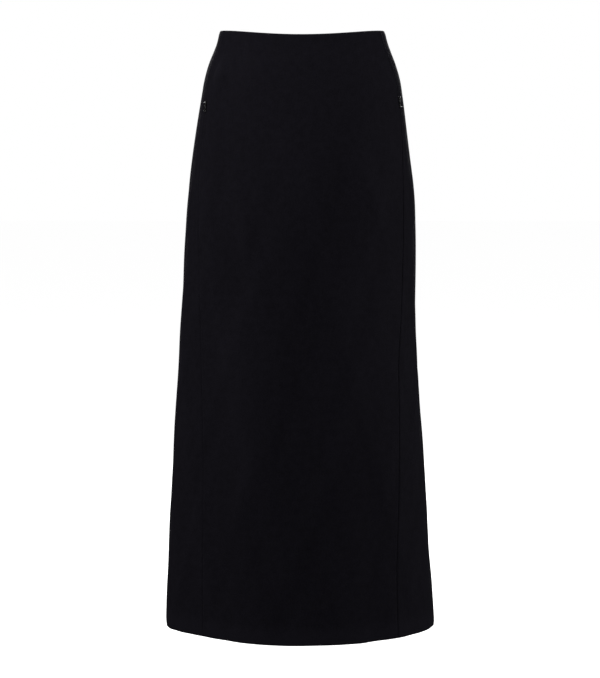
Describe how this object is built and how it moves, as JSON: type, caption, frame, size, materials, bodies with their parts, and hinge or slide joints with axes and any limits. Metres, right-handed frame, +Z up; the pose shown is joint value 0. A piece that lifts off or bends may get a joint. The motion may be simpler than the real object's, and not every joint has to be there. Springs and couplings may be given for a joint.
{
  "type": "pencil skirt",
  "caption": "Long near-black pencil skirt, filled out as when worn, with side gores, a back closing zip and hip zips whose teardrop pulls swing.",
  "frame": {"origin": "centre of the waist opening at the height of the side waist, where the wearer's waist holds the skirt up", "axes": "+Z up along the skirt, -Y towards the front, +X to the viewer's right"},
  "size_m": [0.4266, 0.2815, 0.935],
  "materials": {
    "crepe": "matt near-black heavy crepe with a faint violet sheen at grazing angles",
    "zip_tape": "black woven polyester tape with a nylon coil",
    "lacquered_metal": "glossy black lacquer on cast metal"
  },
  "bodies": {
    "skirt": {"front_panel": "crepe", "side_panel_left": "crepe", "side_panel_right": "crepe", "back_panel_left": "crepe", "back_panel_right": "crepe", "zip_tape_left": "zip_tape", "zip_tape_right": "zip_tape", "zip_tape_back": "zip_tape", "zip_slider_left": "lacquered_metal", "zip_slider_right": "lacquered_metal", "zip_slider_back": "lacquered_metal"},
    "pull_left": {"zip_pull_left": "lacquered_metal"},
    "pull_right": {"zip_pull_right": "lacquered_metal"},
    "pull_back": {"zip_pull_back": "lacquered_metal"}
  },
  "joints": [
    {"name": "pull_left_swing", "type": "hinge", "parent": "skirt", "child": "pull_left", "pos_m": [-0.14572, -0.03983, -0.10878], "axis": [-0.4828, 0.8757, -0.0054], "range_deg": [0, 160]},
    {"name": "pull_right_swing", "type": "hinge", "parent": "skirt", "child": "pull_right", "pos_m": [0.15077, -0.03436, -0.10228], "axis": [-0.4135, -0.9085, -0.06], "range_deg": [0, 160]},
    {"name": "pull_back_swing", "type": "hinge", "parent": "skirt", "child": "pull_back", "pos_m": [0, 0.09372, -0.02363], "axis": [1, 0, 0], "range_deg": [0, 160]}
  ]
}
